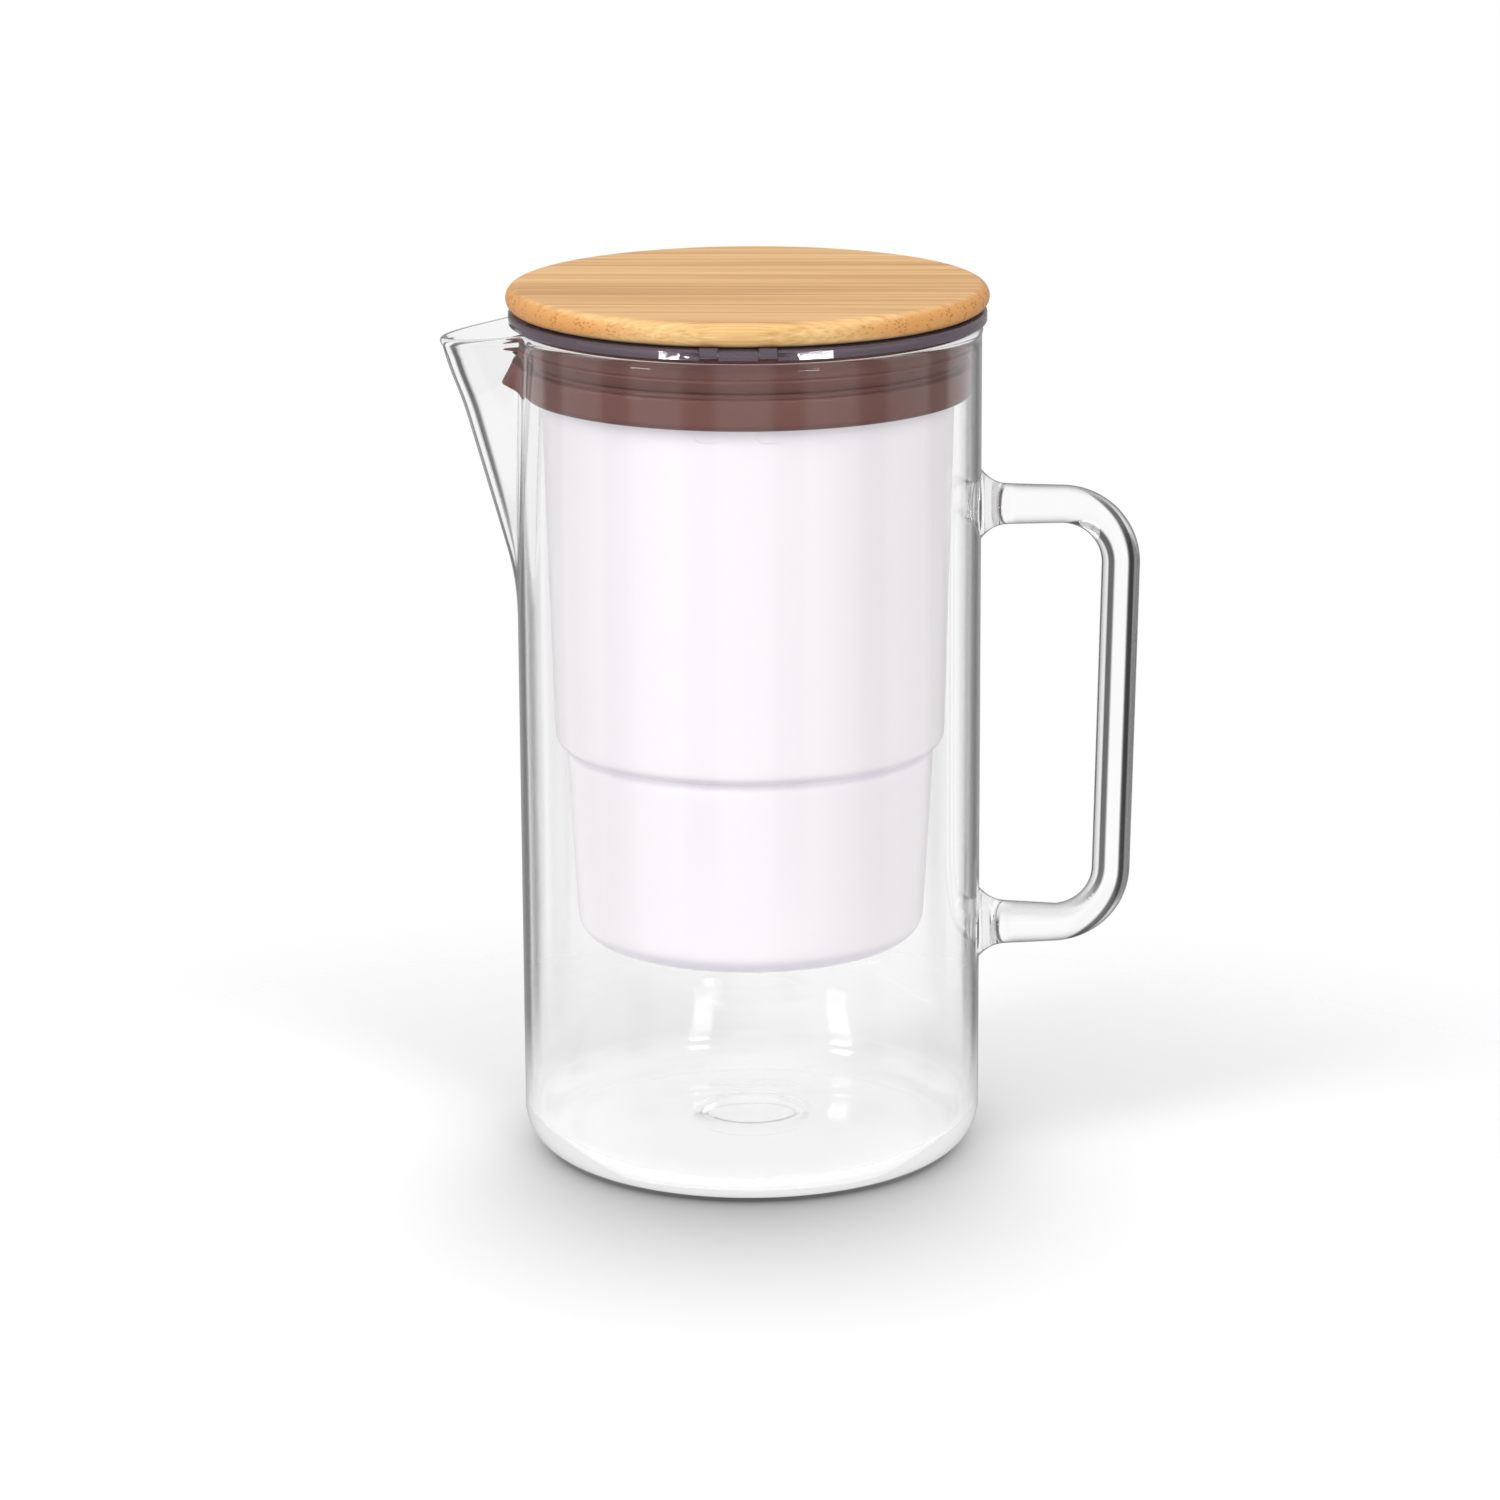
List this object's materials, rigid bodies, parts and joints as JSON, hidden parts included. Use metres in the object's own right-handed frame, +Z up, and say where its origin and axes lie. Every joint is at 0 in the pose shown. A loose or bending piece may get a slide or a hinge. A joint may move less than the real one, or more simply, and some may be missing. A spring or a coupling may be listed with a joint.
{
  "type": "water filter pitcher",
  "caption": "Glass water filter pitcher with a glass rod handle, a pouring spout, a white plastic reservoir with a filter cartridge, a silicone gasket and a bamboo-topped flip lid.",
  "frame": {"origin": "centre of the jug's standing ring, on the jug's axis", "axes": "+Z up along the jug's axis, -X towards the spout, +X towards the handle, -Y towards the lid's hinge"},
  "size_m": [0.1877, 0.129, 0.2384],
  "materials": {
    "clear_glass": "clear, polished",
    "white_plastic": "fine satin gloss",
    "beige_silicone": "satin",
    "tinted_plastic": "polished, smoke grey",
    "bamboo": "satin, sealed",
    "steel": "satin",
    "mesh": "woven",
    "felt": "matte",
    "carbon": "loose grains",
    "resin": "loose beads"
  },
  "bodies": {
    "jug": {"glass_jug": "clear_glass", "glass_handle": "clear_glass"},
    "funnel": {"funnel_shell": "white_plastic", "silicone_gasket": "beige_silicone"},
    "cartridge": {"cartridge_body": "white_plastic", "cartridge_cap": "white_plastic", "cartridge_loop": "white_plastic", "cartridge_seal": "beige_silicone", "inlet_mesh": "mesh", "carbon_bed": "carbon", "felt_divider": "felt", "resin_bed": "resin", "outlet_felt": "felt", "outlet_grille": "white_plastic"},
    "lid_base": {"lid_ring": "tinted_plastic", "lid_seal": "beige_silicone", "hinge_pin": "steel"},
    "flip_lid": {"lid_plate": "tinted_plastic", "bamboo_disc": "bamboo", "lid_screws": "steel"}
  },
  "joints": [
    {"name": "funnel_lift", "type": "slide", "parent": "jug", "child": "funnel", "axis": [0, 0, 1], "range_m": [0, 0.175]},
    {"name": "cartridge_lift", "type": "slide", "parent": "funnel", "child": "cartridge", "axis": [0, 0, 1], "range_m": [0, 0.08]},
    {"name": "lid_lift", "type": "slide", "parent": "funnel", "child": "lid_base", "axis": [0, 0, 1], "range_m": [0, 0.03]},
    {"name": "lid_flip", "type": "hinge", "parent": "lid_base", "child": "flip_lid", "pos_m": [0, -0.0626, 0.2303], "axis": [1, 0, 0], "range_deg": [0, 105]}
  ]
}
